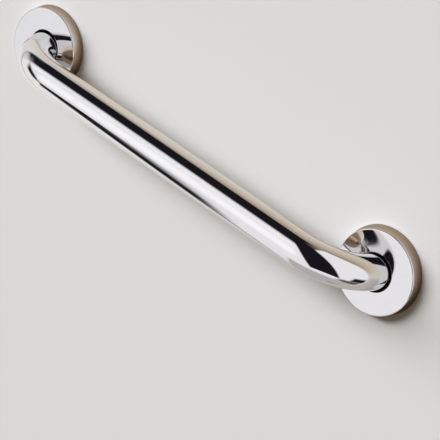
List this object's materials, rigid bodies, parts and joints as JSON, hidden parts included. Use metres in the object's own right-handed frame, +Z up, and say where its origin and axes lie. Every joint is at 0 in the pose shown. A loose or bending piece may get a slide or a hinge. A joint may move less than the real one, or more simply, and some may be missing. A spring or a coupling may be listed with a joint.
{
  "type": "grab bar",
  "caption": "Straight wall grab bar of polished tube, bent into the wall at both ends, with round mounting plates hidden under loose sliding covers.",
  "frame": {"origin": "on the wall, midway between the two flanges, behind the middle of the bar", "axes": "+X along the bar, +Y into the wall, +Z up, with the bar mounted level"},
  "size_m": [0.4864, 0.1048, 0.08],
  "materials": {
    "polished_steel": "mirror-polished stainless steel",
    "plate_steel": "dull rolled stainless plate",
    "weld_steel": "bare weld bead with a light heat tint",
    "screw_steel": "plain stainless screw"
  },
  "bodies": {
    "bar": {"bar_tube": "polished_steel", "left_plate": "plate_steel", "right_plate": "plate_steel", "left_weld": "weld_steel", "right_weld": "weld_steel", "wall_screws": "screw_steel"},
    "left_cover": {"left_cover": "polished_steel"},
    "right_cover": {"right_cover": "polished_steel"}
  },
  "joints": [
    {"name": "left_cover_slide", "type": "hinge", "parent": "bar", "child": "left_cover", "pos_m": [-0.1492, 0, 0], "axis": [0, 0, 1], "range_deg": [0, 70]},
    {"name": "right_cover_slide", "type": "hinge", "parent": "bar", "child": "right_cover", "pos_m": [0.1492, 0, 0], "axis": [0, 0, -1], "range_deg": [0, 70]}
  ]
}
